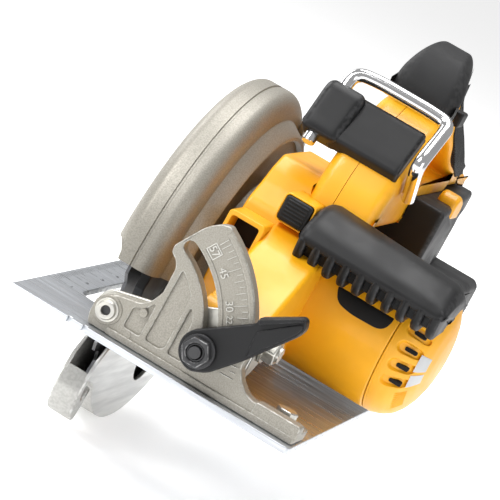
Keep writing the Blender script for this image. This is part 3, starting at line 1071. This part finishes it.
def make_battery(sizes):
    """Battery and foot: outlines with soft corners and wide rounded sides, a parting groove and rails."""
    f0, f1 = span("battery_foot")
    foot = soften([[f0[1], f0[2]], [60, f0[2]], [60, 98.4], [f1[1], 98.4], [f1[1], f1[2]], [f0[1], f1[2]]],
                  [3, 3, 2, 3, 5, 3], 5)
    def drawn_in(s):
        v = s[0].copy()
        v[:, 0] *= np.where(v[:, 0] > 0, 1 - 0.004 * np.maximum(v[:, 1] - 60, 0), 1)
        return (v,) + s[1:]
    make_piece("battery_foot_shell", drawn_in(plate("X", f0[0], f1[0], foot, edge=3.0, rings=7)),
        FINISH["black"], "head",
               ["battery_foot"])
    b0, b1 = span("battery_case")
    z1 = 95.0
    body = soften([[b0[1], b0[2] + 4], [b0[1] + 6, b0[2]], [b1[1] - 8, b0[2]], [b1[1], b0[2] + 10],
        [b1[1] - 2, z1], [b0[1], z1]],
                  [4, 3, 5, 6, 5, 3], 6)
    lower = drawn_in(plate("X", b0[0], 31.0, body, edge=5.0, rings=9))
    wide = soften([[b0[1], b0[2] + 4], [b0[1] + 6, b0[2]], [b1[1] - 14, b0[2]], [b1[1] - 8, b0[2] + 8],
        [b1[1] - 10, 70], [b0[1], 70]],
                  [4, 3, 5, 6, 5, 3], 6)
    lower = merged(lower, plate("X", 10, b1[0] - 6, wide, edge=5.0, rings=9))
    rails = plate("X", b0[0] + 10, b1[0] - 34, box_outline(b0[1] + 10, b1[1] - 16, z1 - 3, b1[2], 1.0),
        edge=0.8)
    make_piece("battery_shell", merged(lower, rails), FINISH["black"], "battery",
        ["battery_case"])
    r0, r1 = span("battery_release_button")
    pad = plate("X", r0[0], r1[0], box_outline(r0[1], r1[1], r0[2], r1[2], 3.0), edge=0.9, rings=5)
    make_piece("battery_release_pad", pad, FINISH["yellow"], "battery_release",
        ["battery_release_button"])


# ---- stage ------------------------------------------------------------------------------------------
def make_stage(colours):
    """Pale floor with a swept-up back as one profile, four soft area lights and the camera."""
    z = -0.0673
    floor_mesh = bpy.data.meshes.new("studio_floor")
    size = 6.0
    floor_mesh.from_pydata([(-size, -size, z), (size, -size, z), (size, size, z), (-size, size, z)], [],
        [(0, 1, 2, 3)])
    mat = bpy.data.materials.new("saw_floor")
    mat.use_nodes = True
    p = mat.node_tree.nodes["Principled BSDF"]
    p.inputs["Base Color"].default_value = (*colours.floor, 1)
    p.inputs["Roughness"].default_value = 0.9
    p.inputs["Emission Color"].default_value = (1, 1, 1, 1)
    p.inputs["Emission Strength"].default_value = 0.42
    floor_mesh.materials.append(mat)
    floor = bpy.data.objects.new("studio_floor", floor_mesh)
    bpy.context.scene.collection.objects.link(floor)
    world = bpy.data.worlds.new("studio")
    bpy.context.scene.world = world
    world.use_nodes = True
    sky = world.node_tree.nodes["Background"]
    seen = world.node_tree.nodes.new("ShaderNodeLightPath")
    strength = wired(world.node_tree, "ShaderNodeMapRange", [(0, seen.outputs["Is Camera Ray"])],
        in_3=0.42, in_4=1.0)
    world.node_tree.links.new(strength.outputs[0], sky.inputs[1])
    sky.inputs[0].default_value = (1, 1, 1, 1)
    bpy.context.scene.view_settings.view_transform = "Standard"
    for name, at, aim, width, power in (("key", (-0.9, -1.1, 1.3), (0, 0, 0.06), 0.8, 25),
        ("fill", (1.5, -1.2, 0.5), (0, 0, 0.05), 1.2, 8),
                                        ("top", (-0.2, 0.3, 1.6), (0, 0, 0), 1.0, 20),
                                            ("rim", (-1.4, 0.7, 0.8), (0, 0, 0.05), 0.8, 10)):
        light = bpy.data.lights.new(name, "AREA")
        light.energy, light.size = power, width
        lamp = bpy.data.objects.new(name, light)
        lamp.location = at
        lamp.rotation_euler = (Vector(aim) - Vector(at)).to_track_quat("-Z", "Y").to_euler()
        bpy.context.scene.collection.objects.link(lamp)
    az, el, roll = (math.radians(v) for v in (11.229, 10.071, 28.609))
    forward = Vector((-math.sin(az) * math.cos(el), math.cos(az) * math.cos(el), -math.sin(el)))
    level = Vector((math.cos(az), math.sin(az), 0))
    rise = level.cross(forward)
    right = level * math.cos(roll) + rise * math.sin(roll)
    up = rise * math.cos(roll) - level * math.sin(roll)
    lens = bpy.data.cameras.new("camera")
    lens.lens, lens.sensor_width, lens.clip_end = 228, 36, 20
    camera = bpy.data.objects.new("camera", lens)
    camera.matrix_world = Matrix.Translation((0.2676, -1.573, 0.3322)) @ Matrix((right, up,
        -forward)).transposed().to_4x4()
    bpy.context.scene.collection.objects.link(camera)
    bpy.context.scene.camera = camera


# ---- add-on -----------------------------------------------------------------------------------------
def colour(name, text, value):
    return bpy.props.FloatVectorProperty(name=name, description=text, subtype="COLOR", size=3, min=0,
        max=1, default=value)


def length(name, text, value, low=0.0, high=50.0):
    return bpy.props.FloatProperty(name=name, description=text, default=value, min=low, max=high,
        subtype="NONE", unit="NONE")


class SawColours(bpy.types.PropertyGroup):
    """Colours of the saw's finishes."""
    yellow: colour("Yellow", "Colour of the yellow plastic housings", (0.92, 0.43, 0.006))
    black: colour("Black", "Colour of the black plastic", (0.009, 0.009, 0.0095))
    casting: colour("Casting", "Colour of the cast metal parts", (0.36, 0.34, 0.295))
    floor: colour("Floor", "Colour of the studio floor", (0.97, 0.97, 0.97))


class SawSizes(bpy.types.PropertyGroup):
    """Fine sizes in millimetres that the frame does not give."""
    sheet_edge: length("Sheet edge", "Rounding of the shoe sheet's edge in millimetres", 0.5)
    tick_pitch: length("Tick pitch", "Distance between ruler marks in millimetres", 3.175)
    guard_wall: length("Guard wall", "Thickness of the upper guard in millimetres", 2.4)
    handle_round: length("Handle rounding", "Rounding of the handle's sides in millimetres", 6.0)
    hook_radius: length("Hook rod radius", "Radius of the hook's rod in millimetres", 3.6)


BUILDERS = [
    ("finishes", "Finishes", "Make every finish and give one to each frame node",
        lambda s: make_finishes(s.saw_colours)),
    ("shoe", "Shoe", "Build the shoe sheet and its ruler marks", lambda s: make_shoe(s.saw_sizes)),
    ("quadrant", "Quadrant", "Build the bevel quadrant with its scale", lambda s: make_quadrant(s.saw_sizes)),
    ("quadrant_fixings", "Quadrant fixings", "Build the pivot screw and hex bolt",
        lambda s: make_quadrant_fixings(s.saw_sizes)),
    ("bracket", "Bracket", "Build the zinc bevel bracket", lambda s: make_bracket(s.saw_sizes)),
    ("lever", "Lever", "Build the bevel lever and its nut", lambda s: make_lever(s.saw_sizes)),
    ("pivot_nut", "Pivot nut", "Build the depth pivot nut", lambda s: make_pivot_nut(s.saw_sizes)),
    ("upper_guard", "Upper guard", "Build the upper guard casting", lambda s: make_upper_guard(s.saw_sizes)),
    ("lower_guard", "Lower guard", "Build the swinging lower guard", lambda s: make_lower_guard(s.saw_sizes)),
    ("drum", "Drum", "Build the motor drum", lambda s: make_drum(s.saw_sizes)),
    ("end_cap", "End cap", "Build the motor end cap", lambda s: make_end_cap(s.saw_sizes)),
    ("gear_case", "Gear case", "Build the gear case and lock button",
        lambda s: make_gear_housing(s.saw_sizes)),
    ("handle", "Handle", "Build the handle, its cap, pad, trigger and lock-off",
        lambda s: make_handle(s.saw_sizes)),
    ("pommel", "Pommel", "Build the front grip", lambda s: make_pommel(s.saw_sizes)),
    ("hook", "Hook", "Build the rafter hook and its clamp", lambda s: make_hook(s.saw_sizes)),
    ("battery", "Battery", "Build the battery, its foot and release", lambda s: make_battery(s.saw_sizes)),
    ("stage", "Stage", "Build the floor, lights and camera", lambda s: make_stage(s.saw_colours)),
]


def operator_class(key, label, text, build):
    def execute(self, context):
        build(context.scene)
        return {"FINISHED"}
    return type("SAW_OT_" + key, (bpy.types.Operator,), {"__doc__": text, "bl_idname": "saw." + key,
        "bl_label": label,
                                                         "execute": execute})


OPERATORS = [operator_class(*row) for row in BUILDERS]


class SAW_PT_panel(bpy.types.Panel):
    """Lists the saw's build steps, sizes and colours."""
    bl_label = "Saw"
    bl_space_type = "VIEW_3D"
    bl_region_type = "UI"
    bl_category = "Saw"

    def draw(self, context):
        for group in (context.scene.saw_sizes, context.scene.saw_colours):
            for name in group.__annotations__:
                self.layout.prop(group, name)
        for key, label, _, _ in BUILDERS:
            self.layout.operator("saw." + key, text=label)


CLASSES = [SawColours, SawSizes, *OPERATORS, SAW_PT_panel]


def register():
    for c in CLASSES:
        bpy.utils.register_class(c)
    bpy.types.Scene.saw_colours = bpy.props.PointerProperty(type=SawColours)
    bpy.types.Scene.saw_sizes = bpy.props.PointerProperty(type=SawSizes)


def unregister():
    del bpy.types.Scene.saw_sizes
    del bpy.types.Scene.saw_colours
    for c in reversed(CLASSES):
        bpy.utils.unregister_class(c)


def main():
    register()
    for key, *_ in BUILDERS:
        getattr(bpy.ops.saw, key)()


if __name__ == "__main__":
    main()
